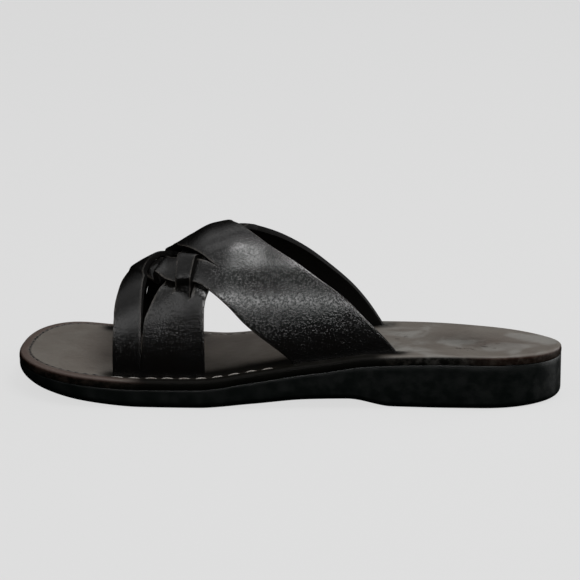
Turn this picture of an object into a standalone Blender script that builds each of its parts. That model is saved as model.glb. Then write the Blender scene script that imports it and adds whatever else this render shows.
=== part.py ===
"""Woven strap sandal, left foot: moulded rubber outsole, leather footbed and two crossed straps.

Metres, +Z up. The toe points to +X, the outer side of the foot is +Y, and the sole stands on z = 0.
The two straps are woven through each other's slits and make one solid, the upper. Their ends go down
through slots in the footbed and lie in pockets between the footbed and the outsole.
"""
import math

import bmesh
import bpy

# Driving sizes
LENGTH = 0.278  # toe tip to heel end
BALL_WIDTH = 0.102  # widest place of the sole
FORE_STACK = 0.0145  # footbed and outsole together under the ball
HEEL_STACK = 0.0278  # footbed and outsole together under the heel
ARCH_RISE = 0.0042  # how far the waist of the sole clears the floor
TOE_SPRING = 0.0086  # how far the toe tip clears the floor
FOOTBED = 0.0045  # leather thickness of the footbed
INSTEP_ROOM = 0.0655  # footbed to the middle of the strap wall, at the crossing
STRAP_WALL = 0.0028  # thickness of the strap leather
SLOT_MARGIN = 0.0085  # sole edge to the middle of a strap slot
TURNED_END = 0.011  # length of strap end that lies under the footbed
BEND = 0.0022  # bend radius of that end, at mid wall
GAP = 0.0003  # running gap between separate pieces
LAP = 0.0006  # how deep two strips are pressed into each other where they cross

# Rounded ends of the sole outline: reach as a share of LENGTH, and how square the curve is
HEEL_REACH, HEEL_SQUARE = 0.14, 2.1
OUTER_TOE_REACH, OUTER_TOE_SQUARE = 0.20, 2.4
INNER_TOE_REACH, INNER_TOE_SQUARE = 0.12, 2.5
TREAD_EDGE = 0.0035  # radius of the outsole's lower edge
FOOTBED_EDGE = 0.0008  # radius of the footbed's upper edge

# Mesh fineness
SOLE_STATIONS = 40
STRAP_STEPS = 60
BEND_STEPS = 3

# Sections of the sole from the heel end to the toe tip
# station: share of LENGTH; outer, inner: shares of half BALL_WIDTH; arch: share of ARCH_RISE;
# spring: share of TOE_SPRING; stack: 0 is FORE_STACK, 1 is HEEL_STACK
SOLE_COLUMNS = ("station", "outer", "inner", "arch", "spring", "stack")
SOLE_ROWS = (
    (0.00, 0.60, 0.36, 0.14, 0.00, 0.87),
    (0.10, 0.64, 0.46, 0.00, 0.00, 0.98),
    (0.20, 0.68, 0.56, 0.00, 0.00, 1.00),
    (0.30, 0.71, 0.64, 0.07, 0.00, 0.92),
    (0.38, 0.75, 0.68, 1.00, 0.00, 0.50),
    (0.45, 0.80, 0.72, 0.96, 0.00, 0.30),
    (0.55, 0.89, 0.80, 0.48, 0.00, 0.15),
    (0.65, 0.96, 0.88, 0.00, 0.00, 0.02),
    (0.75, 0.99, 0.95, 0.00, 0.00, 0.00),
    (0.85, 1.00, 1.00, 0.00, 0.24, -0.07),
    (0.93, 0.99, 1.00, 0.00, 0.58, -0.17),
    (1.00, 0.96, 0.97, 0.00, 1.00, -0.34),
)

# Sections of the arch that the straps lie on, as the top of the last
# station: share of LENGTH from the heel; room: share of INSTEP_ROOM over the footbed;
# ridge: sideways place of the crest, share of half BALL_WIDTH; outer, inner: squareness of each flank
LAST_COLUMNS = ("station", "room", "ridge", "outer", "inner")
LAST_ROWS = (
    (0.26, 0.74, -0.12, 2.1, 2.1),
    (0.40, 0.82, -0.12, 2.2, 2.2),
    (0.52, 0.94, -0.12, 2.2, 2.2),
    (0.57, 0.97, -0.12, 2.3, 2.3),
    (0.60, 0.99, -0.12, 2.4, 2.3),
    (0.64, 0.97, -0.12, 2.5, 2.4),
    (0.68, 0.88, -0.12, 2.5, 2.4),
    (0.72, 0.78, -0.12, 2.6, 2.5),
    (0.74, 0.76, -0.11, 2.6, 2.5),
    (0.76, 0.72, -0.10, 2.6, 2.5),
    (0.80, 0.61, -0.08, 2.6, 2.5),
    (0.86, 0.42, -0.06, 2.6, 2.5),
)

# Edges of the straps over the arch, as shares of LENGTH behind the toe tip
# turn: degrees round the arch from the outer slot (0) over the crest (90) to the inner slot (180)
# The fore strap starts at the outer ball and ends at the inner waist. A long slit parts its narrow
# front strip from its wide one, and two short cuts free a loop (loop_front to loop_rear) in the wide one.
FORE_COLUMNS = ("turn", "front", "slit_front", "slit_rear", "loop_front", "loop_rear", "rear")
FORE_ROWS = (
    (0, 0.196, 0.247, 0.247, 0.288, 0.325, 0.363),
    (27, 0.196, 0.247, 0.252, 0.291, 0.329, 0.360),
    (37, 0.196, 0.246, 0.261, 0.299, 0.337, 0.366),
    (45, 0.195, 0.245, 0.269, 0.305, 0.344, 0.373),
    (53, 0.195, 0.244, 0.279, 0.308, 0.347, 0.380),
    (66, 0.196, 0.243, 0.290, 0.308, 0.348, 0.393),
    (78, 0.196, 0.240, 0.299, 0.313, 0.354, 0.406),
    (90, 0.198, 0.241, 0.311, 0.325, 0.363, 0.420),
    (105, 0.219, 0.266, 0.331, 0.345, 0.383, 0.434),
    (120, 0.291, 0.344, 0.373, 0.393, 0.433, 0.482),
    (135, 0.350, 0.404, 0.407, 0.437, 0.484, 0.538),
    (154, 0.412, 0.467, 0.467, 0.500, 0.545, 0.601),
    (165, 0.439, 0.494, 0.494, 0.528, 0.573, 0.630),
    (180, 0.478, 0.533, 0.533, 0.568, 0.610, 0.666),
)
# The rear strap starts at the outer waist and ends at the inner ball, with one long slit
REAR_COLUMNS = ("turn", "front", "slit_front", "slit_rear", "rear")
REAR_ROWS = (
    (0, 0.521, 0.572, 0.572, 0.706),
    (9, 0.480, 0.532, 0.532, 0.679),
    (19, 0.433, 0.490, 0.490, 0.646),
    (27, 0.403, 0.462, 0.462, 0.622),
    (35, 0.374, 0.432, 0.432, 0.595),
    (44, 0.340, 0.402, 0.402, 0.557),
    (48, 0.313, 0.388, 0.388, 0.540),
    (52, 0.298, 0.374, 0.375, 0.523),
    (61, 0.274, 0.338, 0.351, 0.485),
    (73, 0.249, 0.302, 0.326, 0.442),
    (81, 0.233, 0.283, 0.310, 0.416),
    (90, 0.218, 0.265, 0.295, 0.395),
    (105, 0.198, 0.246, 0.273, 0.376),
    (120, 0.184, 0.233, 0.255, 0.360),
    (135, 0.171, 0.221, 0.238, 0.345),
    (148, 0.162, 0.216, 0.217, 0.333),
    (165, 0.153, 0.208, 0.208, 0.320),
    (180, 0.148, 0.203, 0.203, 0.309),
)

# Lengths along the strap over which a strip climbs on or off the one that it crosses
RAMP = 0.008
SHORT_RAMP = 0.006
LOOP_RAMP = 0.0045
SLIT_OPEN = 0.0006  # a slit narrower than this is still closed
LOOP_CUT = 0.00035  # each side of the loop is trimmed by this where it stands free


def read_row(columns, rows, at):
    """Values of a table at one place, eased so that two equal rows stay level between them."""
    at = min(max(at, rows[0][0]), rows[-1][0])
    last = len(rows) - 1
    i = 0
    while i < last - 1 and at > rows[i + 1][0]:
        i += 1
    run = rows[i + 1][0] - rows[i][0]
    t = (at - rows[i][0]) / run
    values = {}
    for k in range(1, len(columns)):
        def slope(j, k=k):
            if j == 0 or j == last:
                m = min(j, last - 1)
                return (rows[m + 1][k] - rows[m][k]) / (rows[m + 1][0] - rows[m][0])
            before = (rows[j][k] - rows[j - 1][k]) / (rows[j][0] - rows[j - 1][0])
            after = (rows[j + 1][k] - rows[j][k]) / (rows[j + 1][0] - rows[j][0])
            return 0.0 if before * after <= 0 else 2 * before * after / (before + after)
        low, high = rows[i][k], rows[i + 1][k]
        values[columns[k]] = (
            (2 * t**3 - 3 * t**2 + 1) * low
            + (t**3 - 2 * t**2 + t) * run * slope(i)
            + (3 * t**2 - 2 * t**3) * high
            + (t**3 - t**2) * run * slope(i + 1)
        )
    return values


def ease(value, start, full):
    """0 before start, 1 after full, smooth between."""
    t = min(max((value - start) / (full - start), 0.0), 1.0)
    return t * t * (3 - 2 * t)


def rounded(share, square):
    """Width of a rounded end, 0 at its tip and 1 where the straight flank begins."""
    share = min(max(share, 0.0), 1.0)
    return (1 - (1 - share) ** square) ** (1 / square)


def sole_x(station):
    return (station - 0.5) * LENGTH


def sole_edge(station, side):
    """Sideways place of the sole's edge: side is 1 for the outer edge, -1 for the inner one."""
    row = read_row(SOLE_COLUMNS, SOLE_ROWS, station)
    if side > 0:
        flank, reach, square = row["outer"], OUTER_TOE_REACH, OUTER_TOE_SQUARE
    else:
        flank, reach, square = row["inner"], INNER_TOE_REACH, INNER_TOE_SQUARE
    toe = rounded((1 - station) / reach, square)
    heel = rounded(station / HEEL_REACH, HEEL_SQUARE)
    return side * flank * BALL_WIDTH / 2 * toe * heel


def ground(station):
    row = read_row(SOLE_COLUMNS, SOLE_ROWS, station)
    return ARCH_RISE * row["arch"] + TOE_SPRING * row["spring"]


def footbed_top(station):
    row = read_row(SOLE_COLUMNS, SOLE_ROWS, station)
    return ground(station) + FORE_STACK + (HEEL_STACK - FORE_STACK) * row["stack"]


def footbed_under(station):
    return footbed_top(station) - FOOTBED


def outsole_top(station):
    return footbed_under(station) - GAP


def clear_scene():
    for thing in list(bpy.data.objects):
        bpy.data.objects.remove(thing, do_unlink=True)
    for group in list(bpy.data.collections):
        bpy.data.collections.remove(group)


def make_material(name, colour, roughness):
    material = bpy.data.materials.new(name)
    material.use_nodes = True
    shader = material.node_tree.nodes["Principled BSDF"]
    shader.inputs["Base Color"].default_value = (*colour, 1.0)
    shader.inputs["Roughness"].default_value = roughness
    shader.inputs["Metallic"].default_value = 0.0
    material.diffuse_color = (*colour, 1.0)
    return material


def add_mesh(name, bm, group, material=None):
    bmesh.ops.recalc_face_normals(bm, faces=bm.faces)
    mesh = bpy.data.meshes.new(name)
    bm.to_mesh(mesh)
    bm.free()
    thing = bpy.data.objects.new(name, mesh)
    group.objects.link(thing)
    if material:
        mesh.materials.append(material)
    return thing


def sole_outline(inset):
    """Plan outline drawn in by inset, as station pairs: (outer x, y), (inner x, y)."""
    stations = [(1 - math.cos(math.pi * i / SOLE_STATIONS)) / 2 for i in range(SOLE_STATIONS + 1)]
    loop = [(sole_x(s), sole_edge(s, 1)) for s in stations]
    loop += [(sole_x(s), sole_edge(s, -1)) for s in reversed(stations[1:-1])]
    count = len(loop)
    drawn = []
    for i, (x, y) in enumerate(loop):
        ahead, behind = loop[(i + 1) % count], loop[i - 1]
        along_x, along_y = ahead[0] - behind[0], ahead[1] - behind[1]
        size = math.hypot(along_x, along_y)
        drawn.append((x + along_y / size * inset, y - along_x / size * inset))
    return drawn


def loft_sole(name, rings, group, material):
    """Closed body whose rings follow the sole's outline. Each ring is (inset, height function)."""
    bm = bmesh.new()
    layers = []
    for inset, height in rings:
        ring = []
        for x, y in sole_outline(inset):
            station = x / LENGTH + 0.5
            ring.append(bm.verts.new((x, y, height(station))))
        layers.append(ring)
    count = len(layers[0])
    for low, high in zip(layers, layers[1:]):
        for i in range(count):
            bm.faces.new((low[i], low[(i + 1) % count], high[(i + 1) % count], high[i]))
    for ring in (layers[0], layers[-1]):
        for i in range(SOLE_STATIONS):
            outer_a, outer_b = ring[i], ring[i + 1]
            inner_a, inner_b = ring[-i] if i else ring[0], ring[-(i + 1)]
            corners = []
            for corner in (outer_a, outer_b, inner_b, inner_a):
                if corner not in corners:
                    corners.append(corner)
            if len(corners) > 2:
                bm.faces.new(corners)
    return add_mesh(name, bm, group, material)


def make_outsole(group, material):
    rings = []
    for turn in (0, 30, 60, 90):
        inset = TREAD_EDGE * (1 - math.sin(math.radians(turn)))
        lift = TREAD_EDGE * (1 - math.cos(math.radians(turn)))
        rings.append((inset, lambda s, lift=lift: ground(s) + lift))
    rings.append((0.0, outsole_top))
    return loft_sole("outsole", rings, group, material)


def make_insole(group, material):
    rings = [(0.0, footbed_under)]
    for turn in (0, 45, 90):
        inset = FOOTBED_EDGE * (1 - math.cos(math.radians(turn)))
        drop = FOOTBED_EDGE * (1 - math.sin(math.radians(turn)))
        rings.append((inset, lambda s, drop=drop: footbed_top(s) - drop))
    return loft_sole("insole", rings, group, material)


def slot_edge(station, side):
    """Middle of a strap slot, drawn in from the sole's edge."""
    return sole_edge(station, side) - side * SLOT_MARGIN


def last_point(back, turn):
    """Point of the arch: back is the distance behind the toe tip, turn the degrees round the arch."""
    station = 1 - back / LENGTH
    row = read_row(LAST_COLUMNS, LAST_ROWS, station)
    ridge = row["ridge"] * BALL_WIDTH / 2
    angle = math.radians(turn)
    side = 1 if turn <= 90 else -1
    square = row["outer"] if side > 0 else row["inner"]
    across = abs(math.cos(angle)) ** (2 / square)
    up = abs(math.sin(angle)) ** (2 / square)
    y = ridge + (slot_edge(station, side) - ridge) * across
    return sole_x(station), y, footbed_top(station) + row["room"] * INSTEP_ROOM * up


def lifted_point(back, turn, lift):
    """Point of the arch moved out along its normal."""
    x, y, z = last_point(back, turn)
    if abs(lift) < 1e-7:
        return x, y, z
    small = 0.5
    low = last_point(back, max(turn - small, 0.0))
    high = last_point(back, min(turn + small, 180.0))
    fore = last_point(back - 0.001, turn)
    rear = last_point(back + 0.001, turn)
    round_it = [high[i] - low[i] for i in range(3)]
    along_it = [fore[i] - rear[i] for i in range(3)]
    out = (
        along_it[1] * round_it[2] - along_it[2] * round_it[1],
        along_it[2] * round_it[0] - along_it[0] * round_it[2],
        along_it[0] * round_it[1] - along_it[1] * round_it[0],
    )
    size = math.sqrt(sum(v * v for v in out)) * (1 if out[2] >= 0 else -1)
    return tuple(p + lift * v / size for p, v in zip((x, y, z), out))


def edges_at(columns, rows, turn):
    """Edges of a strap at a turn, in metres behind the toe tip."""
    return {name: share * LENGTH for name, share in read_row(columns, rows, turn).items()}


STEP = STRAP_WALL - LAP  # distance between the middles of two strips that cross
NARROW_UP = 0.5 * STEP  # the narrow strips share the step where the front one crosses


def narrow_crossing(back, rear_edges, before, after):
    """1 where the rear strap's narrow strip crosses, easing in and out along the fore strap."""
    into = ease(back - rear_edges["front"], -before, 0.0)
    out_of = ease(back - rear_edges["slit_front"], -0.001, after)
    return into * (1 - out_of)


def lift_front_strip(back, turn):
    """The fore strap's narrow strip rises over the rear strap's narrow one."""
    crossing = edges_at(REAR_COLUMNS, REAR_ROWS, turn)
    return NARROW_UP * narrow_crossing(back, crossing, RAMP, SHORT_RAMP)


def lift_wide_strip(back, turn):
    """The fore strap's wide strip is pressed in where the narrow strip runs over it."""
    crossing = edges_at(REAR_COLUMNS, REAR_ROWS, turn)
    return -0.4 * STEP * narrow_crossing(back, crossing, LOOP_RAMP, LOOP_RAMP)


def lift_loop(back, turn):
    """The loop stands over the narrow strip that is pulled through it."""
    crossing = edges_at(REAR_COLUMNS, REAR_ROWS, turn)
    return 1.6 * STEP * narrow_crossing(back, crossing, LOOP_RAMP, SHORT_RAMP)


def lift_narrow_rear(back, turn):
    """The rear strap's narrow strip runs over the wide fore strip, then dives under the front one."""
    fore = edges_at(FORE_COLUMNS, FORE_ROWS, turn)
    onto = ease(fore["rear"] - back, -SHORT_RAMP, 0.001)
    dive = ease(fore["slit_rear"] - back, 0.0, 0.008)
    leave = ease(fore["front"] - back, 0.0, RAMP)
    under = NARROW_UP - STEP
    return (0.6 * STEP * onto * (1 - dive) + under * dive) * (1 - leave)


def lift_wide_rear(back, turn):
    """The rear strap's wide strip runs over the whole fore strap."""
    fore = edges_at(FORE_COLUMNS, FORE_ROWS, turn)
    onto = ease(fore["rear"] - back, -SHORT_RAMP, 0.001)
    leave = ease(fore["front"] - back, -0.001, RAMP)
    return STEP * onto * (1 - leave)


# Strips of each strap from front to rear: from edge, to edge, lift, columns of faces, trimmed sides
FORE_STRIPS = (
    ("front", "slit_front", lift_front_strip, 3, 0.0),
    ("slit_rear", "loop_front", lift_wide_strip, 2, 0.0),
    ("loop_front", "loop_rear", lift_loop, 3, LOOP_CUT),
    ("loop_rear", "rear", lift_wide_strip, 3, 0.0),
)
REAR_STRIPS = (
    ("front", "slit_front", lift_narrow_rear, 3, 0.0),
    ("slit_rear", "rear", lift_wide_rear, 6, 0.0),
)


def turned_end(back, side, length, top):
    """Strap end at one place: from the tip under the footbed, round the bend and up to the top height."""
    station = 1 - back / LENGTH
    y = slot_edge(station, side)
    low = footbed_under(station) - GAP - STRAP_WALL / 2
    points = [(y - side * length, low), (y - side * (length + BEND) / 2, low)]
    for i in range(BEND_STEPS + 1):
        angle = math.radians(90 * i / BEND_STEPS)
        points.append((y - side * BEND * (1 - math.sin(angle)), low + BEND * (1 - math.cos(angle))))
    if top is not None:
        points.append((y, top))
    return [(sole_x(station), py, pz) for py, pz in points]


def strip_rows(strip, columns, rows):
    """Grid of points of one strip, from its outer turned end over the arch to its inner one."""
    first, second, lift, faces, trim = strip
    grid = []
    for i in range(STRAP_STEPS + 1):
        turn = 180 * i / STRAP_STEPS
        edges = edges_at(columns, rows, turn)
        line = []
        for k in range(faces + 1):
            back = edges[first] + (edges[second] - edges[first]) * k / faces
            rise = lift(back, turn)
            if trim and k in (0, faces) and abs(rise - lift_wide_strip(back, turn)) > 1e-5:
                back += trim if k == 0 else -trim
            line.append(lifted_point(back, turn, rise))
        grid.append(line)
    for side, turn in ((1, 0.0), (-1, 180.0)):
        edges = edges_at(columns, rows, turn)
        ends = []
        for k in range(faces + 1):
            back = edges[first] + (edges[second] - edges[first]) * k / faces
            ends.append(turned_end(back, side, TURNED_END, None))
        lines = [list(line) for line in zip(*ends)]
        grid = lines + grid if side > 0 else grid + lines[::-1]
    return grid


def strap_sheet(name, strips, columns, rows, wall, group):
    """One strap: its strips share their edge where they are joined and part where a slit is open."""
    bm = bmesh.new()
    before = None
    for strip in strips:
        grid = strip_rows(strip, columns, rows)
        verts = []
        for r, line in enumerate(grid):
            made = []
            for k, point in enumerate(line):
                if k == 0 and before is not None:
                    mate = before[r][-1]
                    if math.dist(mate.co, point) < SLIT_OPEN:
                        made.append(mate)
                        continue
                made.append(bm.verts.new(point))
            verts.append(made)
        for low, high in zip(verts, verts[1:]):
            for k in range(len(low) - 1):
                bm.faces.new((low[k], low[k + 1], high[k + 1], high[k]))
        before = verts
    sheet = add_mesh(name, bm, group)
    thicken(sheet, wall)
    return sheet


def thicken(sheet, wall):
    solid = sheet.modifiers.new("wall", "SOLIDIFY")
    solid.thickness = wall
    solid.offset = 0.0
    solid.use_even_offset = True
    apply_modifiers(sheet)


def apply_modifiers(thing):
    shape = bpy.data.meshes.new_from_object(
        thing.evaluated_get(bpy.context.evaluated_depsgraph_get())
    )
    thing.modifiers.clear()
    old = thing.data
    thing.data = shape
    bpy.data.meshes.remove(old)


def combine(thing, other, operation, folded=False):
    step = thing.modifiers.new(operation.lower(), "BOOLEAN")
    step.object = other
    step.operation = operation
    step.solver = "EXACT"
    step.use_self = folded
    apply_modifiers(thing)


def slot_cutter(name, columns, rows, side, group):
    """Room for one strap end: the slot through the footbed and the pocket under it."""
    turn = 0.0 if side > 0 else 180.0
    edges = edges_at(columns, rows, turn)
    front, rear = edges["front"] - GAP, edges["rear"] + GAP
    faces = 8
    bm = bmesh.new()
    verts = []
    for k in range(faces + 1):
        back = front + (rear - front) * k / faces
        top = footbed_top(1 - back / LENGTH) + STRAP_WALL
        line = turned_end(back, side, TURNED_END + GAP, top)
        verts.append([bm.verts.new(point) for point in line])
    for low, high in zip(verts, verts[1:]):
        for k in range(len(low) - 1):
            bm.faces.new((low[k], low[k + 1], high[k + 1], high[k]))
    cutter = add_mesh(name, bm, group)
    thicken(cutter, STRAP_WALL + 2 * GAP)
    cutter.display_type = "WIRE"
    cutter.hide_render = True
    return cutter


def fill_pockets(thing):
    """Drop the small sealed pockets that two crossing strips leave, so the wall is solid there."""
    bm = bmesh.new()
    bm.from_mesh(thing.data)
    shells = []
    left = set(bm.verts)
    while left:
        shell, queue = [], [left.pop()]
        while queue:
            vert = queue.pop()
            shell.append(vert)
            for edge in vert.link_edges:
                mate = edge.other_vert(vert)
                if mate in left:
                    left.remove(mate)
                    queue.append(mate)
        shells.append(shell)
    shells.sort(key=len)
    for shell in shells[:-1]:
        bmesh.ops.delete(bm, geom=shell, context="VERTS")
    bm.to_mesh(thing.data)
    bm.free()


def make_upper(group, material, scraps):
    fore = strap_sheet("upper", FORE_STRIPS, FORE_COLUMNS, FORE_ROWS, STRAP_WALL, group)
    rear = strap_sheet("rear_strap", REAR_STRIPS, REAR_COLUMNS, REAR_ROWS, STRAP_WALL, scraps)
    combine(fore, rear, "UNION", folded=True)
    bpy.data.objects.remove(rear, do_unlink=True)
    fill_pockets(fore)
    fore.data.materials.clear()
    fore.data.materials.append(material)
    return fore


def finish(thing):
    bm = bmesh.new()
    bm.from_mesh(thing.data)
    bmesh.ops.remove_doubles(bm, verts=bm.verts, dist=0.000001)
    bm.to_mesh(thing.data)
    bm.free()
    bpy.context.view_layer.objects.active = thing
    for other in bpy.context.view_layer.objects:
        other.select_set(other is thing)
    bpy.ops.object.shade_smooth()
    thing.data.set_sharp_from_angle(angle=math.radians(35))


clear_scene()
sandal = bpy.data.collections.new("woven_strap_sandal")
cutters = bpy.data.collections.new("cutters")
for collection in (sandal, cutters):
    bpy.context.scene.collection.children.link(collection)
cutters.hide_render = True

rubber = make_material("black_rubber", (0.012, 0.014, 0.013), 0.55)
footbed_leather = make_material("footbed_leather", (0.10, 0.09, 0.08), 0.6)
strap_leather = make_material("strap_leather", (0.022, 0.018, 0.016), 0.4)

outsole = make_outsole(sandal, rubber)
insole = make_insole(sandal, footbed_leather)
upper = make_upper(sandal, strap_leather, cutters)

for strap, columns, rows in (("fore", FORE_COLUMNS, FORE_ROWS), ("rear", REAR_COLUMNS, REAR_ROWS)):
    for side, side_name in ((1, "outer"), (-1, "inner")):
        cutter = slot_cutter(f"{strap}_{side_name}_slot", columns, rows, side, cutters)
        for thing in (insole, outsole):
            combine(thing, cutter, "DIFFERENCE")

for thing in (outsole, insole, upper):
    finish(thing)
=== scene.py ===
"""Woven strap sandal, left foot: the finished look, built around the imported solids.

Metres, in the frame of the solids: the toe points to +X, the outer side of the foot is +Y, the floor is z = 0.
"""
import math

import bmesh
import bpy
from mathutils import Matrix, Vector, kdtree, noise


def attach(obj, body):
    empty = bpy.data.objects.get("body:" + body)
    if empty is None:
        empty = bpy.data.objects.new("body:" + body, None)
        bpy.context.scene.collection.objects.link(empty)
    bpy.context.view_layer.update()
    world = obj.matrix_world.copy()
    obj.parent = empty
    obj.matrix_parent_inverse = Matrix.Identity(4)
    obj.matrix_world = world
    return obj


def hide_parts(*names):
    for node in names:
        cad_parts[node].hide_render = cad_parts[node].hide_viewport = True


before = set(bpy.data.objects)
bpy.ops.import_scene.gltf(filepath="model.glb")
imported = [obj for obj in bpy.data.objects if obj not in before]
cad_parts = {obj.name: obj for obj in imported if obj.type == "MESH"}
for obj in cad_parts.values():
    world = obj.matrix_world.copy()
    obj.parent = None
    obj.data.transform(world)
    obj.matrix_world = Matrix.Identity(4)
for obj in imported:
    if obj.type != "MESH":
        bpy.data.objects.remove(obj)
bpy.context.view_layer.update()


# Outsole
# One unit of light black rubber, poured in a mould with a low heel, a raised waist and a lifted toe.
# Its sides are smooth and trimmed flush with the footbed that is glued on top; the tread edge is rounded.

LENGTH = 0.278  # toe tip to heel end
BALL_WIDTH = 0.102  # widest place of the sole
FORE_STACK = 0.0145  # footbed and outsole together under the ball
HEEL_STACK = 0.0278  # footbed and outsole together under the heel
ARCH_RISE = 0.0042  # how far the waist clears the floor
TOE_SPRING = 0.0086  # how far the toe tip clears the floor
FOOTBED = 0.0045  # leather thickness of the footbed
GAP = 0.0003  # glue line between the footbed and the outsole
TREAD_EDGE = 0.0035  # radius of the outsole's lower edge
RIM_EDGE = 0.0004  # radius of the outsole's upper edge

# Rounded ends of the outline: reach is a share of LENGTH, and a larger square makes a squarer end
HEEL_REACH, HEEL_SQUARE = 0.14, 2.1
OUTER_TOE_REACH, OUTER_TOE_SQUARE = 0.20, 2.4
INNER_TOE_REACH, INNER_TOE_SQUARE = 0.12, 2.5
STATIONS = 150  # sections along the sole
ACROSS = 36  # faces from the outer to the inner edge

# station: share of LENGTH from the heel; outer, inner: shares of half BALL_WIDTH; arch: share of ARCH_RISE;
# spring: share of TOE_SPRING; stack: 0 is FORE_STACK, 1 is HEEL_STACK
SOLE_COLUMNS = ("station", "outer", "inner", "arch", "spring", "stack")
SOLE_ROWS = (
    (0.00, 0.60, 0.36, 0.14, 0.00, 0.87),
    (0.10, 0.64, 0.46, 0.00, 0.00, 0.98),
    (0.20, 0.68, 0.56, 0.00, 0.00, 1.00),
    (0.30, 0.71, 0.64, 0.07, 0.00, 0.92),
    (0.38, 0.75, 0.68, 1.00, 0.00, 0.50),
    (0.45, 0.80, 0.72, 0.96, 0.00, 0.30),
    (0.55, 0.89, 0.80, 0.48, 0.00, 0.15),
    (0.65, 0.96, 0.88, 0.00, 0.00, 0.02),
    (0.75, 0.99, 0.95, 0.00, 0.00, 0.00),
    (0.85, 1.00, 1.00, 0.00, 0.24, -0.07),
    (0.93, 0.99, 1.00, 0.00, 0.58, -0.17),
    (1.00, 0.96, 0.97, 0.00, 1.00, -0.34),
)


def read_row(columns, rows, at):
    """Values of a table at one place, eased so that two equal rows stay level between them."""
    at = min(max(at, rows[0][0]), rows[-1][0])
    last = len(rows) - 1
    i = 0
    while i < last - 1 and at > rows[i + 1][0]:
        i += 1
    run = rows[i + 1][0] - rows[i][0]
    t = (at - rows[i][0]) / run
    values = {}
    for k in range(1, len(columns)):
        def slope(j, k=k):
            if j == 0 or j == last:
                m = min(j, last - 1)
                return (rows[m + 1][k] - rows[m][k]) / (rows[m + 1][0] - rows[m][0])
            before = (rows[j][k] - rows[j - 1][k]) / (rows[j][0] - rows[j - 1][0])
            after = (rows[j + 1][k] - rows[j][k]) / (rows[j + 1][0] - rows[j][0])
            return 0.0 if before * after <= 0 else 2 * before * after / (before + after)
        low, high = rows[i][k], rows[i + 1][k]
        values[columns[k]] = (
            (2 * t**3 - 3 * t**2 + 1) * low
            + (t**3 - 2 * t**2 + t) * run * slope(i)
            + (3 * t**2 - 2 * t**3) * high
            + (t**3 - t**2) * run * slope(i + 1)
        )
    return values


def ease(value, start, full):
    """0 before start, 1 after full, smooth between."""
    t = min(max((value - start) / (full - start), 0.0), 1.0)
    return t * t * (3 - 2 * t)


def rounded(share, square):
    """Width of a rounded end, 0 at its tip and 1 where the straight flank begins."""
    share = min(max(share, 0.0), 1.0)
    return (1 - (1 - share) ** square) ** (1 / square)


def sole_x(station):
    return (station - 0.5) * LENGTH


def station_at(x):
    return x / LENGTH + 0.5


def sole_edge(station, side):
    """Sideways place of the sole's edge: side is 1 for the outer edge, -1 for the inner one."""
    row = read_row(SOLE_COLUMNS, SOLE_ROWS, station)
    if side > 0:
        flank, reach, square = row["outer"], OUTER_TOE_REACH, OUTER_TOE_SQUARE
    else:
        flank, reach, square = row["inner"], INNER_TOE_REACH, INNER_TOE_SQUARE
    toe = rounded((1 - station) / reach, square)
    heel = rounded(station / HEEL_REACH, HEEL_SQUARE)
    return side * flank * BALL_WIDTH / 2 * toe * heel


def ground(station):
    row = read_row(SOLE_COLUMNS, SOLE_ROWS, station)
    return ARCH_RISE * row["arch"] + TOE_SPRING * row["spring"]


def footbed_top(station):
    row = read_row(SOLE_COLUMNS, SOLE_ROWS, station)
    return ground(station) + FORE_STACK + (HEEL_STACK - FORE_STACK) * row["stack"]


def footbed_under(station):
    return footbed_top(station) - FOOTBED


def sole_outline(inset):
    """Plan outline drawn in by inset, from the heel round the outer side to the toe and back inside."""
    stations = [(1 - math.cos(math.pi * i / STATIONS)) / 2 for i in range(STATIONS + 1)]
    loop = [(sole_x(s), sole_edge(s, 1)) for s in stations]
    loop += [(sole_x(s), sole_edge(s, -1)) for s in reversed(stations[1:-1])]
    count = len(loop)
    drawn = []
    for i, (x, y) in enumerate(loop):
        ahead, behind = loop[(i + 1) % count], loop[i - 1]
        along_x, along_y = ahead[0] - behind[0], ahead[1] - behind[1]
        size = math.hypot(along_x, along_y)
        drawn.append((x + along_y / size * inset, y - along_x / size * inset))
    return drawn


def sole_body(name, rings, lower, upper):
    """Closed body. Rings of (inset, height at x and y) run from the underside to the top, and a grid with
    the lower or upper height closes each end."""
    bm = bmesh.new()
    layers = []
    for inset, height in rings:
        layers.append([bm.verts.new((x, y, height(x, y))) for x, y in sole_outline(inset)])
    count = len(layers[0])
    for low, high in zip(layers, layers[1:]):
        for i in range(count):
            bm.faces.new((low[i], low[(i + 1) % count], high[(i + 1) % count], high[i]))
    for ring, height in ((layers[0], lower), (layers[-1], upper)):
        rows = []
        for i in range(STATIONS + 1):
            first, last = ring[i], ring[-i]
            if first is last:
                rows.append([first] * (ACROSS + 1))
                continue
            row = [first]
            for k in range(1, ACROSS):
                place = first.co.lerp(last.co, k / ACROSS)
                row.append(bm.verts.new((place.x, place.y, height(place.x, place.y))))
            rows.append(row + [last])
        for near, far in zip(rows, rows[1:]):
            for k in range(ACROSS):
                corners = list(dict.fromkeys((near[k], near[k + 1], far[k + 1], far[k])))
                bm.faces.new(corners)
    bmesh.ops.recalc_face_normals(bm, faces=bm.faces)
    return new_piece(name, bm)


def new_piece(name, bm):
    mesh = bpy.data.meshes.new(name)
    bm.to_mesh(mesh)
    bm.free()
    piece = bpy.data.objects.new(name, mesh)
    bpy.context.scene.collection.objects.link(piece)
    return piece


def bake_modifiers(piece):
    """Turn the piece with its modifiers into a plain mesh."""
    evaluated = piece.evaluated_get(bpy.context.evaluated_depsgraph_get())
    shape = bpy.data.meshes.new_from_object(evaluated)
    piece.modifiers.clear()
    old = piece.data
    piece.data = shape
    bpy.data.meshes.remove(old)


def smooth_faces(piece, sharp_above):
    for face in piece.data.polygons:
        face.use_smooth = True
    piece.data.set_sharp_from_angle(angle=math.radians(sharp_above))


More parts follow.
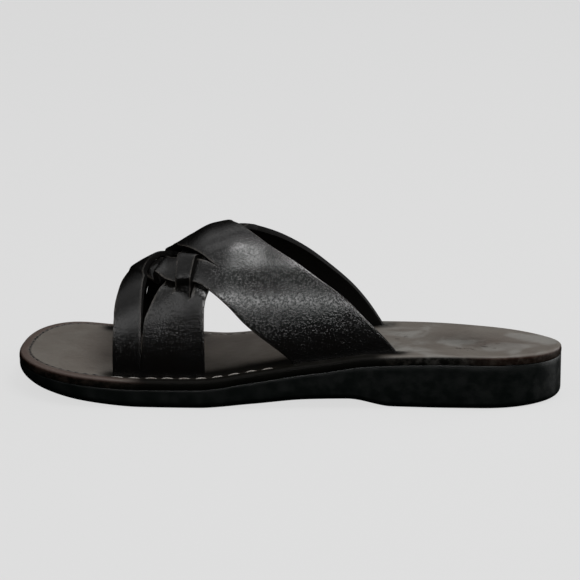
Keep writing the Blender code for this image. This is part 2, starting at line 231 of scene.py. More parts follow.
def feed(tree, socket, value):
    """Put a number or a link on an input."""
    if isinstance(value, bpy.types.NodeSocket):
        tree.links.new(value, socket)
    else:
        socket.default_value = value


def add_node(tree, kind, inputs=None, **values):
    """One new node of a tree, with its settings, and a number or a link on each input that is named."""
    node = tree.nodes.new(kind)
    for key, value in values.items():
        setattr(node, key, value)
    for key, value in (inputs or {}).items():
        feed(tree, node.inputs[key], value)
    return node


class Finish:
    """A node material. Its calls add nodes and return the socket that holds their result."""

    def __init__(self, name):
        self.material = bpy.data.materials.new(name)
        self.material.use_nodes = True
        self.tree = self.material.node_tree
        self.shader = self.tree.nodes["Principled BSDF"]
        self.place = self.add("ShaderNodeTexCoord").outputs["Object"]

    def add(self, kind, inputs=None, **values):
        return add_node(self.tree, kind, inputs, **values)

    def set(self, **values):
        """Put numbers or links on the shader's own sockets, which are named with _ for a space."""
        for key, value in values.items():
            feed(self.tree, self.shader.inputs[key.replace("_", " ")], value)

    def mark(self, name):
        """A mark from 0 to 1 that is stored on the points of the piece, for wear and for painted shade and
        highlight.
        """
        return self.add("ShaderNodeAttribute", attribute_name=name, attribute_type="GEOMETRY").outputs["Fac"]

    def clouds(self, size, detail=4.0, rough=0.55, warp=0.0, place=None):
        """Soft noise from 0 to 1, with patches of about this size."""
        return self.add("ShaderNodeTexNoise", {
            "Vector": place or self.place, "Scale": 1 / size, "Detail": detail, "Roughness": rough,
            "Distortion": warp,
        }).outputs["Fac"]

    def grade(self, value, low, high, to_low=0.0, to_high=1.0):
        """The value's range low to high, mapped smoothly to another one."""
        return self.add("ShaderNodeMapRange", {
            "Value": value, "From Min": low, "From Max": high, "To Min": to_low, "To Max": to_high,
        }, interpolation_type="SMOOTHSTEP").outputs["Result"]

    def blend(self, share, first, second):
        """Colour from first to second by share."""
        first, second = ((*colour, 1.0) if isinstance(colour, tuple) else colour for colour in (first, second))
        return self.add("ShaderNodeMix", {0: share, 6: first, 7: second}, data_type="RGBA").outputs[2]

    def sum(self, first, second, kind="ADD", clamp=False):
        return self.add("ShaderNodeMath", {0: first, 1: second}, operation=kind, use_clamp=clamp).outputs[0]

    def relief(self, height, depth, strength=1.0, under=None):
        """Bump of this depth in metres, over another one."""
        inputs = {"Height": height, "Distance": depth, "Strength": strength}
        if under:
            inputs["Normal"] = under
        return self.add("ShaderNodeBump", inputs).outputs["Normal"]


def tread(x, y):
    return ground(station_at(x))


def outsole_top(x, y):
    return footbed_under(station_at(x)) - GAP


outsole_rings = []
for turn in (0, 15, 30, 45, 60, 75, 90):
    inset = TREAD_EDGE * (1 - math.sin(math.radians(turn)))
    lift = TREAD_EDGE * (1 - math.cos(math.radians(turn)))
    outsole_rings.append((inset, lambda x, y, lift=lift: tread(x, y) + lift))
for share in (0.3, 0.6, 0.85):
    outsole_rings.append((0.0, lambda x, y, share=share: (
        (tread(x, y) + TREAD_EDGE) * (1 - share) + (outsole_top(x, y) - RIM_EDGE) * share
    )))
for turn in (0, 45, 90):
    inset = RIM_EDGE * (1 - math.cos(math.radians(turn)))
    drop = RIM_EDGE * (1 - math.sin(math.radians(turn)))
    outsole_rings.append((inset, lambda x, y, drop=drop: outsole_top(x, y) - drop))
outsole = sole_body("rubber_outsole", outsole_rings, tread, outsole_top)

rubber = Finish("black_rubber")
moulded = rubber.clouds(0.0006, detail=3.0)
waviness = rubber.clouds(0.018, detail=2.0)
rubber_scuffs = rubber.grade(rubber.clouds(0.004, detail=8.0, rough=0.75), 0.60, 0.78)
rubber.set(
    Base_Color=rubber.blend(rubber_scuffs, (0.0010, 0.0022, 0.0018), (0.0036, 0.0042, 0.0038)),
    Roughness=rubber.grade(rubber.clouds(0.006, detail=6.0), 0.35, 0.70, 0.36, 0.52),
    Specular_IOR_Level=0.36,
    Normal=rubber.relief(moulded, 0.00003, 0.5, rubber.relief(waviness, 0.0004, 0.25)),
)


# Footbed
# A board of vegetable-tanned leather about 4.5 mm thick, cut to the outsole's outline, dyed dark and waxed.
# Its top edge is rounded by hand, a stitch channel runs round the front, and the strap ends pass through slots.

FOOTBED_EDGE = 0.0018  # radius of the upper edge
CHANNEL_INSET = 0.0053  # sole edge to the stitch line
CHANNEL_WIDTH = 0.0012
CHANNEL_DEPTH = 0.00035
CHANNEL_START_OUTER = 0.505  # station where the stitches begin on the outer side
CHANNEL_START_INNER = 0.535
CHANNEL_FADE = 0.012
# Small hollows that wear has pressed into the top: x, y, reach along x, reach along y, depth
HOLLOWS = (
    (0.092, 0.006, 0.010, 0.007, 0.00035),
    (0.083, -0.012, 0.022, 0.016, 0.00030),
    (0.060, 0.012, 0.030, 0.022, 0.00045),
    (-0.095, 0.002, 0.034, 0.020, 0.00060),
)
LEVEL_RIM = (0.002, 0.014)  # hollows and waves fade in between these distances from the edge
WAVE_DEPTH = 0.00012  # slow waves of the top
WAVES_ALONG, WAVES_OVER, WAVE_SEED = 40.0, 55.0, 3.0
SIDE_BULGE = 0.00012  # how far the cut side swells past the outline
# Patches of small dark nicks: x, y, reach
NICKS = (
    (-0.058, -0.001, 0.008),
    (-0.104, 0.009, 0.010),
    (-0.090, 0.020, 0.009),
    (0.062, -0.018, 0.006),
)
# Wear, painted sheen and painted channel shade along the sandal: the x where each starts and the x where it is full
SHEEN_SPAN = (-0.035, -0.060)
RED_BORDER = (0.066, 0.090)
PALE_CHANNEL = (0.068, 0.082)
HEEL_WEAR = (-0.085, -0.110)
TOE_WEAR = (0.062, 0.080)
# Colours of the leather, its marks, and its painted shade and sheen
TOP_PALE, TOP_BROWN = (0.116, 0.104, 0.090), (0.094, 0.080, 0.068)
MOTTLE_BROWN = (0.060, 0.046, 0.037)
STRAP_SHADE_BLACK = (0.0040, 0.0036, 0.0028)
SHEEN_GREY = (0.165, 0.158, 0.145)
BORDER_BROWN = (0.052, 0.030, 0.024)
NICK_BROWN = (0.020, 0.014, 0.011)
CHANNEL_SHADE_BROWN = (0.010, 0.008, 0.0065)
RIM_BLACK, RIM_TOE, RIM_HEEL = (0.0028, 0.0024, 0.0018), (0.018, 0.0080, 0.0054), (0.030, 0.013, 0.008)
SIDE_BLACK, SIDE_HEEL, SIDE_MOTTLE = (0.0014, 0.0015, 0.0009), (0.009, 0.0048, 0.0030), (0.0030, 0.0026, 0.0020)


def stitched(x, y):
    """1 where the footbed is stitched, 0 behind the straps."""
    start = CHANNEL_START_OUTER if y > 0 else CHANNEL_START_INNER
    return ease(station_at(x), start, start + CHANNEL_FADE)


def worn_top(x, y):
    """Top of the footbed with its hollows and slow waves."""
    station = station_at(x)
    height = footbed_top(station)
    inside = ease(min(sole_edge(station, 1) - y, y - sole_edge(station, -1)), *LEVEL_RIM)
    for at_x, at_y, along, over, depth in HOLLOWS:
        far = ((x - at_x) / along) ** 2 + ((y - at_y) / over) ** 2
        height -= inside * depth * math.exp(-far)
    return height + inside * WAVE_DEPTH * noise.noise(Vector((x * WAVES_ALONG, y * WAVES_OVER, WAVE_SEED)))


def channel(x, y, depth):
    return worn_top(x, y) - depth * stitched(x, y)


footbed_rings = [(0.0, lambda x, y: footbed_under(station_at(x)))]
for share in (0.35, 0.7):
    footbed_rings.append((-SIDE_BULGE, lambda x, y, share=share: (
        footbed_under(station_at(x)) + share * (FOOTBED - FOOTBED_EDGE)
    )))
for turn in (0, 20, 40, 60, 80):
    inset = FOOTBED_EDGE * (1 - math.cos(math.radians(turn)))
    drop = FOOTBED_EDGE * (1 - math.sin(math.radians(turn)))
    footbed_rings.append((inset, lambda x, y, drop=drop: footbed_top(station_at(x)) - drop))
for inset in (FOOTBED_EDGE * 1.4, 0.0030, CHANNEL_INSET - CHANNEL_WIDTH, CHANNEL_INSET - CHANNEL_WIDTH / 2):
    footbed_rings.append((inset, worn_top))
for inset, share in ((-0.25, 0.7), (0.0, 1.0), (0.25, 0.7)):
    footbed_rings.append((
        CHANNEL_INSET + inset * CHANNEL_WIDTH,
        lambda x, y, share=share: channel(x, y, share * CHANNEL_DEPTH),
    ))
for inset in (CHANNEL_INSET + CHANNEL_WIDTH / 2, CHANNEL_INSET + CHANNEL_WIDTH):
    footbed_rings.append((inset, worn_top))
footbed = sole_body("leather_footbed", footbed_rings, lambda x, y: footbed_under(station_at(x)), worn_top)

board = Finish("footbed_leather")
# Marks of wear and painted shade, stored on the footbed once its slots are cut
rim, low_side, groove, painted_strap_shade, border = (
    board.mark(name) for name in ("rim", "low_side", "groove", "painted_strap_shade", "border"))
along = board.add("ShaderNodeSeparateXYZ", {"Vector": board.place}).outputs["X"]
stains = board.clouds(0.030, detail=6.0, rough=0.6, warp=0.4)
mottle = board.clouds(0.0045, detail=8.0, rough=0.7)
pores = board.add("ShaderNodeTexVoronoi", {
    "Vector": board.place, "Scale": 1400.0, "Randomness": 1.0}, feature="F1").outputs["Distance"]
top_colour = board.blend(board.grade(stains, 0.35, 0.70), TOP_PALE, TOP_BROWN)
top_colour = board.blend(board.grade(mottle, 0.55, 0.80, 0.0, 0.25), top_colour, MOTTLE_BROWN)
# Painted shade round the strap slots and along the outer edge between them, for the straps' shadow and dark
# reflection
strap_shade_share = board.sum(painted_strap_shade, board.grade(stains, 0.2, 0.6, 0.85, 1.05), "MULTIPLY", clamp=True)
top_colour = board.blend(strap_shade_share, top_colour, STRAP_SHADE_BLACK)
# Painted sheen: pale patches from the rear strap back to the heel, painted for the glossy highlights of the footbed
# there
sheen_patches = board.grade(board.clouds(0.024, detail=3.0, warp=0.5), 0.46, 0.62)
painted_sheen = board.sum(sheen_patches, board.grade(along, *SHEEN_SPAN), "MULTIPLY")
top_colour = board.blend(painted_sheen, top_colour, SHEEN_GREY)
# The toe's border outside the stitches has gone red-brown, and four places have small dark nicks
border_share = board.sum(border, board.grade(along, *RED_BORDER, 0.0, 0.75), "MULTIPLY")
top_colour = board.blend(border_share, top_colour, BORDER_BROWN)
near_nicks = None
for at_x, at_y, reach in NICKS:
    centre = (at_x, at_y, footbed_top(station_at(at_x)))
    apart = board.add("ShaderNodeVectorMath", {0: board.place, 1: centre}, operation="DISTANCE")
    near = board.grade(apart.outputs["Value"], reach, reach * 0.4)
    near_nicks = near if near_nicks is None else board.sum(near_nicks, near, "MAXIMUM")
specks = board.grade(board.clouds(0.0035, detail=6.0, rough=0.7), 0.56, 0.62)
nicks = board.sum(near_nicks, specks, "MULTIPLY")
top_colour = board.blend(nicks, top_colour, NICK_BROWN)
# Painted shade in the stitch channel, weaker towards the toe
channel_shade_share = board.sum(groove, board.grade(along, *PALE_CHANNEL, 1.0, 0.40), "MULTIPLY")
top_colour = board.blend(channel_shade_share, top_colour, CHANNEL_SHADE_BROWN)
heel_wear = board.grade(along, *HEEL_WEAR)
rim_colour = board.blend(board.grade(along, *TOE_WEAR), RIM_BLACK, RIM_TOE)
rim_colour = board.blend(heel_wear, rim_colour, RIM_HEEL)
side_colour = board.blend(heel_wear, SIDE_BLACK, SIDE_HEEL)
side_colour = board.blend(low_side, rim_colour, side_colour)
side_colour = board.blend(board.grade(mottle, 0.45, 0.75, 0.0, 0.6), side_colour, SIDE_MOTTLE)
rim_share = board.sum(rim, board.grade(mottle, 0.30, 0.70, 0.80, 1.10), "MULTIPLY", clamp=True)
board.set(
    Base_Color=board.blend(rim_share, top_colour, side_colour),
    Roughness=board.grade(board.clouds(0.010, detail=6.0), 0.35, 0.70, 0.40, 0.55),
    Specular_IOR_Level=board.grade(board.sum(rim, painted_strap_shade, "MAXIMUM"), 0.1, 1.0, 0.35, 0.05),
    Normal=board.relief(pores, 0.00005, 0.35, board.relief(mottle, 0.00012, 0.30)),
)


# Stitching
# One line of thick waxed thread, sewn through the footbed's front after the straps were set in their slots.
# It starts beside the outer rear strap, runs outside the straps and round the toe, and ends at the inner side.

SIDE_STITCH = {
    "Pitch": 0.0081, "Stitch Length": 0.0074, "Thread Width": 0.00085, "Rise": 0.00036, "Wander": 0.00015,
}
TOE_STITCH = {
    "Pitch": 0.0046, "Stitch Length": 0.0035, "Thread Width": 0.00085, "Rise": 0.00022, "Wander": 0.00034,
}
TOE_RUN = 0.80  # station where the short toe stitches begin
DIP, CROWN = -1.6, 3.6  # ends and middle control point of a stitch's arc, as shares of its rise
TOE_THREAD_SHADE = (0.078, 0.088)  # x where the thread starts to be painted darker for the shade of the sunk toe stitches, and where it is black


def stitch_path(from_station, to_station, side):
    """Points of the stitch line on the channel's floor, in order along the footbed's edge."""
    line = sole_outline(CHANNEL_INSET)
    half = line[: STATIONS + 1] if side > 0 else line[STATIONS:] + line[:1]
    points = []
    for x, y in half:
        if from_station <= station_at(x) <= to_station:
            points.append((x, y, channel(x, y, CHANNEL_DEPTH)))
    return points


def run_of_thread(name, points):
    line = bpy.data.curves.new(name, "CURVE")
    line.dimensions = "3D"
    spline = line.splines.new("POLY")
    spline.points.add(len(points) - 1)
    for slot, point in zip(spline.points, points):
        slot.co = (*point, 1.0)
    run = bpy.data.objects.new(name, line)
    bpy.context.scene.collection.objects.link(run)
    return run


def stitching_tree():
    """Stitches of one length, laid end to end along a curve, each an arc of thread that dips at its ends."""
    tree = bpy.data.node_groups.new("saddle_stitches", "GeometryNodeTree")
    sockets = tree.interface
    sockets.new_socket("Geometry", in_out="INPUT", socket_type="NodeSocketGeometry")
    for name in SIDE_STITCH:
        sockets.new_socket(name, in_out="INPUT", socket_type="NodeSocketFloat")
    sockets.new_socket("Seed", in_out="INPUT", socket_type="NodeSocketInt")
    sockets.new_socket("Thread", in_out="INPUT", socket_type="NodeSocketMaterial")
    sockets.new_socket("Geometry", in_out="OUTPUT", socket_type="NodeSocketGeometry")

    def add(kind, inputs=None, **values):
        return add_node(tree, kind, inputs, **values)

    def times(value, factor):
        return add("ShaderNodeMath", {0: value, 1: factor}, operation="MULTIPLY").outputs[0]

    given = add("NodeGroupInput").outputs
    wander = times(given["Wander"], -1.0)
    low = add("ShaderNodeCombineXYZ", {"X": wander, "Y": wander, "Z": times(given["Wander"], -0.3)})
    high = add("ShaderNodeCombineXYZ", {
        "X": given["Wander"], "Y": given["Wander"], "Z": times(given["Wander"], 0.3)})
    places = add("GeometryNodeResampleCurve", {
        "Curve": given["Geometry"], "Length": given["Pitch"]}, mode="LENGTH")
    drift = add("FunctionNodeRandomValue", {
        "Min": low.outputs[0], "Max": high.outputs[0], "Seed": given["Seed"]}, data_type="FLOAT_VECTOR")
    places = add("GeometryNodeSetPosition", {
        "Geometry": places.outputs[0], "Offset": drift.outputs["Value"]})
    along = add("FunctionNodeAlignRotationToVector", {
        "Vector": add("GeometryNodeInputTangent").outputs[0]}, axis="X", pivot_axis="AUTO")
    dip = times(given["Rise"], DIP)
    ends = [
        add("ShaderNodeCombineXYZ", {"X": times(given["Stitch Length"], half), "Z": dip}).outputs[0]
        for half in (-0.5, 0.5)
    ]
    crown = add("ShaderNodeCombineXYZ", {"Z": times(given["Rise"], CROWN)}).outputs[0]
    arc = add("GeometryNodeCurveQuadraticBezier", {
        "Resolution": 8, "Start": ends[0], "Middle": crown, "End": ends[1]})
    section = add("GeometryNodeCurvePrimitiveCircle", {
        "Resolution": 8, "Radius": times(given["Thread Width"], 0.5)}, mode="RADIUS")
    thread = add("GeometryNodeCurveToMesh", {
        "Curve": arc.outputs[0], "Profile Curve": section.outputs[0], "Fill Caps": True})
    laid = add("GeometryNodeInstanceOnPoints", {
        "Points": places.outputs[0], "Instance": thread.outputs[0], "Rotation": along.outputs[0]})
    solid = add("GeometryNodeRealizeInstances", {"Geometry": laid.outputs[0]})
    smooth = add("GeometryNodeSetShadeSmooth", {"Geometry": solid.outputs[0]})
    dyed = add("GeometryNodeSetMaterial", {"Geometry": smooth.outputs[0], "Material": given["Thread"]})
    tree.links.new(dyed.outputs[0], add("NodeGroupOutput").inputs[0])
    return tree


def sew(run, tree, sizes, seed, thread):
    """Run the stitching tree along one run of thread and keep the result as a plain mesh."""
    sewing = run.modifiers.new("stitches", "NODES")
    sewing.node_group = tree
    values = {**sizes, "Seed": seed, "Thread": thread}
    for socket in tree.interface.items_tree:
        if socket.item_type == "SOCKET" and socket.in_out == "INPUT" and socket.name in values:
            sewing[socket.identifier] = values[socket.name]
    evaluated = run.evaluated_get(bpy.context.evaluated_depsgraph_get())
    shape = bpy.data.meshes.new_from_object(evaluated)
    run.modifiers.clear()
    return shape


thread = Finish("waxed_thread")
plies = thread.add("ShaderNodeTexWave", {
    "Vector": thread.place, "Scale": 520.0, "Distortion": 1.2, "Detail": 2.0,
}, bands_direction="DIAGONAL").outputs["Fac"]
thread_colour = thread.blend(
    thread.grade(thread.clouds(0.002, detail=5.0), 0.35, 0.75), (0.26, 0.245, 0.225), (0.12, 0.10, 0.085))
# The thread is painted darker towards the toe, for the shade of its sunk stitches
toe_thread_shade = thread.grade(thread.add("ShaderNodeSeparateXYZ", {"Vector": thread.place}).outputs["X"], *TOE_THREAD_SHADE)
thread.set(
    Base_Color=thread.blend(toe_thread_shade, thread_colour, (0.0060, 0.0042, 0.0034)),
    Roughness=0.42,
    Specular_IOR_Level=0.5,
    Normal=thread.relief(plies, 0.00010, 0.6),
)

stitches = stitching_tree()
toe_points = stitch_path(TOE_RUN, 1.0, 1) + stitch_path(TOE_RUN, 1.0, -1)[1:]
runs = (
    ("outer_run", stitch_path(CHANNEL_START_OUTER + CHANNEL_FADE, TOE_RUN, 1), SIDE_STITCH, 3),
    ("toe_run", toe_points, TOE_STITCH, 5),
    ("inner_run", stitch_path(CHANNEL_START_INNER + CHANNEL_FADE, TOE_RUN, -1), SIDE_STITCH, 8),
)
sewn = bmesh.new()
for name, points, sizes, seed in runs:
    run = run_of_thread(name, points)
    shape = sew(run, stitches, sizes, seed, thread.material)
    sewn.from_mesh(shape)
    bpy.data.meshes.remove(shape)
    bpy.data.objects.remove(run, do_unlink=True)
stitching = new_piece("footbed_stitching", sewn)
stitching.data.materials.append(thread.material)
smooth_faces(stitching, 60)
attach(stitching, "root")


# Straps
# Two bands of waxed, pebbled leather, 2.8 mm thick, cut square and left raw at their edges. The fore strap runs
# from the outer ball to the inner waist, the rear strap from the outer waist to the inner ball. Each is slit
# lengthwise, and the rear strap's narrow strip is pulled through a loop in the fore strap and under its front strip.

INSTEP_ROOM = 0.0655  # footbed to the middle of the strap wall, at the crossing
STRAP_WALL = 0.0028
SLOT_MARGIN = 0.0085  # sole edge to the middle of a strap slot
TURNED_END = 0.011  # length of strap end that lies under the footbed
BEND = 0.0022  # bend radius of that end, at mid wall
STRAP_STEPS = 260  # faces over the arch
BEND_STEPS = 6
# Lengths over which strips change their level: rear strap onto fore strap, steps down, loop, front strip
LONG_RAMP = 0.024
RAMP = 0.008
SHORT_RAMP = 0.006
LOOP_RAMP = 0.0125
FRONT_RAMP = 0.004
OVERLAP = 0.001  # a step down starts this far before the edge that it passes
LOOP_CREST = 0.0050  # the loop is at full height this far behind the narrow strip's front edge
LOOP_CUT = 0.00035  # the loop's own edges are trimmed by this where it stands free
LOOP_FREE = 0.0008  # it stands free where it is this far above the wide strip
SLIT_OPEN = 0.00012  # two strips with edges nearer than this are still joined
EDGE_ROUND = 0.00065  # radius of the strap's cut corners
EDGE_DROOP = 0.00012  # how far the leather falls away at a cut edge
DROOP_REACH = 0.0018
DROOP_TURNS = (2.0, 14.0)  # it starts and is full at these turns from the slots
EDGE_PALE_REACH = (0.00145, 0.00160)  # pale wear and painted highlight of a cut edge end between these distances from the middle of the wall
EDGE_PALE_HEIGHTS = (0.024, 0.046)  # they start and are full at these heights above the floor
SLICES_A_METRE = 2e5  # places at which the arch is looked up

# station: share of LENGTH; room: share of INSTEP_ROOM; ridge: share of half BALL_WIDTH; outer, inner: squareness
LAST_COLUMNS = ("station", "room", "ridge", "outer", "inner")
LAST_ROWS = (
    (0.26, 0.74, -0.12, 2.1, 2.1),
    (0.40, 0.82, -0.12, 2.2, 2.2),
    (0.52, 0.94, -0.12, 2.2, 2.2),
    (0.57, 0.97, -0.12, 2.3, 2.3),
    (0.60, 0.99, -0.12, 2.4, 2.3),
    (0.64, 0.97, -0.12, 2.5, 2.4),
    (0.68, 0.88, -0.12, 2.5, 2.4),
    (0.72, 0.78, -0.12, 2.6, 2.5),
    (0.74, 0.76, -0.11, 2.6, 2.5),
    (0.76, 0.72, -0.10, 2.6, 2.5),
    (0.80, 0.61, -0.08, 2.6, 2.5),
    (0.86, 0.42, -0.06, 2.6, 2.5),
)
# Edges of the straps as shares of LENGTH behind the toe tip; turn: degrees round the arch from the outer slot
FORE_COLUMNS = ("turn", "front", "slit_front", "slit_rear", "loop_front", "loop_rear", "rear")
FORE_ROWS = (
    (0, 0.196, 0.247, 0.247, 0.288, 0.325, 0.363),
    (27, 0.196, 0.247, 0.252, 0.291, 0.329, 0.360),
    (37, 0.196, 0.246, 0.261, 0.299, 0.337, 0.366),
    (45, 0.195, 0.245, 0.269, 0.306, 0.340, 0.373),
    (53, 0.195, 0.244, 0.279, 0.310, 0.344, 0.380),
    (66, 0.196, 0.243, 0.290, 0.310, 0.350, 0.393),
    (78, 0.196, 0.240, 0.299, 0.313, 0.354, 0.406),
    (90, 0.198, 0.241, 0.311, 0.325, 0.363, 0.420),
    (105, 0.219, 0.266, 0.331, 0.345, 0.383, 0.434),
    (120, 0.291, 0.344, 0.373, 0.393, 0.433, 0.482),
    (135, 0.350, 0.404, 0.407, 0.437, 0.484, 0.538),
    (154, 0.412, 0.467, 0.467, 0.500, 0.545, 0.601),
    (165, 0.439, 0.494, 0.494, 0.528, 0.573, 0.630),
    (180, 0.478, 0.533, 0.533, 0.568, 0.610, 0.666),
)
REAR_COLUMNS = ("turn", "front", "slit_front", "slit_rear", "rear")
REAR_ROWS = (
    (0, 0.521, 0.572, 0.572, 0.706),
    (9, 0.480, 0.532, 0.532, 0.679),
    (19, 0.433, 0.490, 0.490, 0.646),
    (27, 0.403, 0.462, 0.462, 0.622),
    (35, 0.374, 0.432, 0.432, 0.595),
    (44, 0.340, 0.402, 0.402, 0.557),
    (48, 0.313, 0.388, 0.388, 0.540),
    (52, 0.298, 0.374, 0.375, 0.523),
    (61, 0.274, 0.338, 0.351, 0.485),
    (73, 0.249, 0.302, 0.326, 0.442),
    (81, 0.233, 0.283, 0.310, 0.416),
    (90, 0.218, 0.265, 0.297, 0.395),
    (105, 0.198, 0.248, 0.279, 0.376),
    (120, 0.184, 0.239, 0.250, 0.360),
    (135, 0.171, 0.229, 0.231, 0.345),
    (148, 0.162, 0.216, 0.217, 0.333),
    (165, 0.153, 0.208, 0.208, 0.320),
    (180, 0.148, 0.203, 0.203, 0.309),
)


def slot_edge(station, side):
    """Middle of a strap slot, drawn in from the sole's edge."""
    return sole_edge(station, side) - side * SLOT_MARGIN


def arch_slice(back):
    """What the arch needs at one distance behind the toe tip, looked up once."""
    key = round(back * SLICES_A_METRE)
    if key not in arch_slices:
        station = 1 - key / SLICES_A_METRE / LENGTH
        row = read_row(LAST_COLUMNS, LAST_ROWS, station)
        arch_slices[key] = (
            sole_x(station), slot_edge(station, 1), slot_edge(station, -1), footbed_top(station),
            row["ridge"] * BALL_WIDTH / 2, row["room"] * INSTEP_ROOM, row["outer"], row["inner"],
        )
    return arch_slices[key]


arch_slices = {}


def last_point(back, turn):
    """Point of the arch: back is the distance behind the toe tip, turn the degrees round the arch."""
    x, outer_slot, inner_slot, base, ridge, room, outer, inner = arch_slice(back)
    angle = math.radians(turn)
    slot, square = (outer_slot, outer) if turn <= 90 else (inner_slot, inner)
    across = abs(math.cos(angle)) ** (2 / square)
    up = abs(math.sin(angle)) ** (2 / square)
    return Vector((x, ridge + (slot - ridge) * across, base + room * up))


def lifted_point(back, turn, lift):
    """Point of the arch moved out along its normal."""
    half_turn, half_step = 0.5, 0.001  # small steps to either side
    round_it = last_point(back, min(turn + half_turn, 180.0)) - last_point(back, max(turn - half_turn, 0.0))
    along_it = last_point(back - half_step, turn) - last_point(back + half_step, turn)
    out = along_it.cross(round_it).normalized()
    if out.z < 0:
        out.negate()
    return last_point(back, turn) + lift * out


def edges_at(columns, rows, turn):
    """Edges of a strap at a turn, in metres behind the toe tip, looked up once."""
    key = (columns, round(turn, 4))
    if key not in strap_edges:
        strap_edges[key] = {name: share * LENGTH for name, share in read_row(columns, rows, turn).items()}
    return strap_edges[key]


strap_edges = {}
STEP = STRAP_WALL  # distance between the middles of two strips that cross
NARROW_UP = 0.5 * STEP
PRESSED = 0.55 * STEP  # how far the fore strap gives way under the narrow strip
DIVE_LOW, DIVE_HIGH = -2.3 * STEP, -0.80 * STEP  # level of the diving strip at the bend's two sides
DIVE_TURNS = (72.0, 86.0)  # turns between those two levels
DIVE_RUN = (0.0070, 0.0116)  # the dive starts and ends this far ahead of the fore slit's rear edge
SAG = 0.0007  # how far the front strip's rear edge hangs down over the crest
SAG_START, SAG_END = (58.0, 76.0), (92.0, 106.0)  # turns over which it comes and goes
SAG_REACH = 0.0095
SPLIT_TURNS = (50.0, 66.0)  # turns over which the rear strap's two strips part in level


def narrow_crossing(back, turn, start, full):
    """1 where the rear strap's narrow strip crosses. The rise starts and is full at these two distances behind
    that strip's front edge."""
    rear = edges_at(REAR_COLUMNS, REAR_ROWS, turn)
    into = ease(back - rear["front"], start, full)
    out_of = ease(back - rear["slit_front"], -OVERLAP, SHORT_RAMP)
    return into * (1 - out_of)


def lift_front_strip(back, turn):
    """The fore strap's narrow strip rises over the rear strap's narrow one."""
    rear_edge = edges_at(FORE_COLUMNS, FORE_ROWS, turn)["slit_front"]
    sag = SAG * ease(turn, *SAG_START) * (1 - ease(turn, *SAG_END)) * ease(back - rear_edge, -SAG_REACH, 0.0)
    return NARROW_UP * narrow_crossing(back, turn, -FRONT_RAMP, 0.0) - sag


def lift_wide_strip(back, turn):
    """The fore strap's wide strip is pressed in under the rear strap, and further up under its narrow strip."""
    rear = edges_at(REAR_COLUMNS, REAR_ROWS, turn)
    into = ease(back - rear["front"], -RAMP, 0.0)
    out_of = ease(back - rear["slit_front"], -OVERLAP, LOOP_RAMP) * ease(turn, *SPLIT_TURNS)
    return -PRESSED * into * (1 - out_of)


def lift_loop(back, turn):
    """The loop stands over the narrow strip that is pulled through it."""
    rise = narrow_crossing(back, turn, -LOOP_RAMP, LOOP_CREST)
    return lift_wide_strip(back, turn) * (1 - rise) + (2 * STEP - PRESSED) * rise


def lift_narrow_rear(back, turn):
    """The rear strap's narrow strip runs over the wide fore strip, then dives under the front one."""
    fore = edges_at(FORE_COLUMNS, FORE_ROWS, turn)
    onto = ease(fore["rear"] - back, -LONG_RAMP, OVERLAP)
    dive = ease(fore["slit_rear"] - back, *DIVE_RUN)
    leave = ease(fore["front"] - back, 0.0, RAMP)
    under = DIVE_LOW + (DIVE_HIGH - DIVE_LOW) * ease(turn, *DIVE_TURNS)
    return ((STEP - PRESSED) * onto * (1 - dive) + under * dive) * (1 - leave)


def lift_wide_rear(back, turn):
    """The rear strap's wide strip runs over the whole fore strap."""
    fore = edges_at(FORE_COLUMNS, FORE_ROWS, turn)
    onto = ease(fore["rear"] - back, -LONG_RAMP, OVERLAP)
    leave = ease(fore["front"] - back, -OVERLAP, RAMP)
    return (STEP - PRESSED * (1 - ease(turn, *SPLIT_TURNS))) * onto * (1 - leave)


# Strips of each strap from front to rear: from edge, to edge, lift, columns of faces, trimmed sides
FORE_STRIPS = (
    ("front", "slit_front", lift_front_strip, 10, 0.0),
    ("slit_rear", "loop_front", lift_wide_strip, 6, 0.0),
    ("loop_front", "loop_rear", lift_loop, 8, LOOP_CUT),
    ("loop_rear", "rear", lift_wide_strip, 8, 0.0),
)
REAR_STRIPS = (
    ("front", "slit_front", lift_narrow_rear, 10, 0.0),
    ("slit_rear", "rear", lift_wide_rear, 26, 0.0),
)


def turned_end(back, side, length, top, steps):
    """Strap end at one place: from the tip under the footbed, round the bend and up to the top height."""
    station = 1 - back / LENGTH
    y = slot_edge(station, side)
    low = footbed_under(station) - GAP - STRAP_WALL / 2
    points = [(y - side * length, low), (y - side * (length + BEND) / 2, low)]
    for i in range(steps + 1):
        angle = math.radians(90 * i / steps)
        points.append((y - side * BEND * (1 - math.sin(angle)), low + BEND * (1 - math.cos(angle))))
    if top is not None:
        points.append((y, top))
    return [Vector((sole_x(station), py, pz)) for py, pz in points]


def strip_rows(strip, strips, columns, rows):
    """Grid of points of one strip, from its outer turned end over the arch to its inner one."""
    first, second, lift, faces, trim = strip
    front_name, rear_name = strips[0][0], strips[-1][1]
    grid = []
    for i in range(STRAP_STEPS + 1):
        turn = 180 * i / STRAP_STEPS
        edges = edges_at(columns, rows, turn)
        line = []
        for k in range(faces + 1):
            back = edges[first] + (edges[second] - edges[first]) * k / faces
            rise = lift(back, turn)
            if trim and k in (0, faces):
                open_share = ease(abs(rise - lift_wide_strip(back, turn)), 0.0, LOOP_FREE)
                back += open_share * (trim if k == 0 else -trim)
            inside = min(back - edges[front_name], edges[rear_name] - back)
            droop = (1 - ease(inside, 0.0, DROOP_REACH)) * ease(min(turn, 180 - turn), *DROOP_TURNS)
            line.append(lifted_point(back, turn, rise - EDGE_DROOP * droop))
        grid.append(line)
    for side, turn in ((1, 0.0), (-1, 180.0)):
        edges = edges_at(columns, rows, turn)
        ends = []
        for k in range(faces + 1):
            back = edges[first] + (edges[second] - edges[first]) * k / faces
            ends.append(turned_end(back, side, TURNED_END, None, BEND_STEPS))
        lines = [list(line) for line in zip(*ends)]
        grid = lines + grid if side > 0 else grid + lines[::-1]
    return grid


